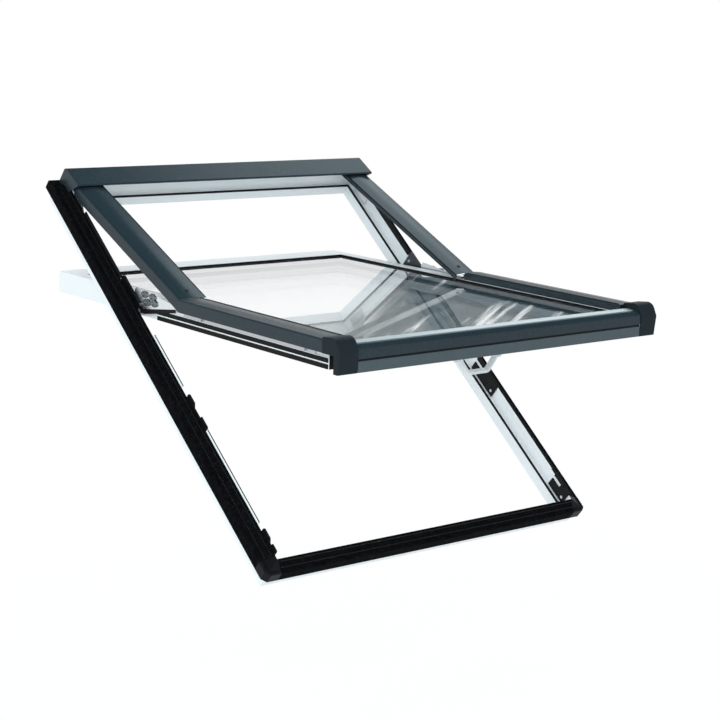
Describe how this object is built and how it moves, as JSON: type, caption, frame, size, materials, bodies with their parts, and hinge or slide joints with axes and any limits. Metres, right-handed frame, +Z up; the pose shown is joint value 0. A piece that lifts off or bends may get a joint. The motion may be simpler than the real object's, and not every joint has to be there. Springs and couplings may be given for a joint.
{
  "type": "roof window",
  "caption": "Roof window with a raised pivot: framed glazed sash that swings out, cover arms that lift with it, hood, fold-down handle and locking bars.",
  "frame": {"origin": "centre of the bottom rail's back face, on the roof", "axes": "+Z up, +X across the window to the right seen from outside, +Y into the roof; the frame lies at the roof's pitch"},
  "size_m": [0.94, 1.1543, 0.846],
  "materials": {
    "white_plastic": "satin",
    "black_cover": "satin",
    "black_plastic": "matte",
    "anthracite": "satin",
    "black_rubber": "matte",
    "clear_glass": "polished",
    "spacer_metal": "satin",
    "steel": "brushed",
    "white_handle": "satin"
  },
  "bodies": {
    "frame": {"frame_left_stile": "white_plastic", "frame_right_stile": "white_plastic", "frame_top_rail": "white_plastic", "frame_bottom_rail": "white_plastic", "frame_seal": "black_rubber", "cover_left": "black_cover", "cover_right": "black_cover", "cover_top": "black_cover", "cover_bottom": "black_cover", "corner_piece_left": "black_plastic", "corner_piece_right": "black_plastic", "hood": "anthracite", "hood_cap_left": "black_plastic", "hood_cap_right": "black_plastic", "hinge_frame_leaf_left": "steel", "hinge_frame_leaf_right": "steel", "hinge_pins": "steel", "upper_keeper_left": "black_plastic", "upper_keeper_right": "black_plastic", "lower_keeper_left": "black_plastic", "lower_keeper_right": "black_plastic", "arm_guide_bracket_left": "steel", "arm_guide_bracket_right": "steel", "frame_screws": "steel"},
    "sash": {"sash_stile_left": "white_plastic", "sash_stile_right": "white_plastic", "sash_top_rail": "white_plastic", "sash_bottom_rail": "white_plastic", "outer_pane": "clear_glass", "inner_pane": "clear_glass", "glass_spacer": "spacer_metal", "glazing_bead_left": "white_plastic", "glazing_bead_right": "white_plastic", "glazing_bead_top": "white_plastic", "glazing_gasket": "black_rubber", "sash_seals": "black_rubber", "sash_cladding_left": "anthracite", "sash_cladding_right": "anthracite", "fascia_lower": "anthracite", "fascia_upper": "anthracite", "fascia_seal": "black_rubber", "fascia_cap_left": "black_plastic", "fascia_cap_right": "black_plastic", "hinge_sash_leaf_left": "steel", "hinge_sash_leaf_right": "steel", "hinge_bosses": "steel", "arm_pivot_bracket_left": "steel", "arm_pivot_bracket_right": "steel", "handle_base": "white_handle"},
    "arm_left": {"arm_cover_left": "anthracite", "arm_strip_left": "steel", "arm_rivet_left": "steel"},
    "arm_right": {"arm_cover_right": "anthracite", "arm_strip_right": "steel", "arm_rivet_right": "steel"},
    "handle": {"handle_bow": "white_handle"},
    "lock_left": {"locking_bar_left": "steel"},
    "lock_right": {"locking_bar_right": "steel"}
  },
  "joints": [
    {"name": "sash_pivot", "type": "hinge", "parent": "frame", "child": "sash", "pos_m": [0, 0.52352, 0.54278], "axis": [1, 0, 0], "range_deg": [0, 38.6]},
    {"name": "arm_hinge_left", "type": "hinge", "parent": "sash", "child": "arm_left", "pos_m": [0, 0.32208, 0.56392], "axis": [1, 0, 0], "range_deg": [-24.53, 0]},
    {"name": "arm_hinge_right", "type": "hinge", "parent": "sash", "child": "arm_right", "pos_m": [0, 0.32208, 0.56392], "axis": [1, 0, 0], "range_deg": [-24.53, 0]},
    {"name": "handle_hinge", "type": "hinge", "parent": "sash", "child": "handle", "pos_m": [0, -0.18041, 0.45859], "axis": [1, 0, 0], "range_deg": [0, 80.1]},
    {"name": "lock_slide_left", "type": "slide", "parent": "sash", "child": "lock_left", "axis": [0, -0.9985, -0.0541], "range_m": [0, 0.025]},
    {"name": "lock_slide_right", "type": "slide", "parent": "sash", "child": "lock_right", "axis": [0, -0.9985, -0.0541], "range_m": [0, 0.025]}
  ],
  "couplings": [
    {"joint": "arm_hinge_left", "follows": "sash_pivot", "ratio": -0.63503},
    {"joint": "arm_hinge_right", "follows": "sash_pivot", "ratio": -0.63503},
    {"joint": "handle_hinge", "follows": "lock_slide_left", "rad_per_m": 55.85},
    {"joint": "lock_slide_right", "follows": "lock_slide_left", "ratio": 1}
  ]
}
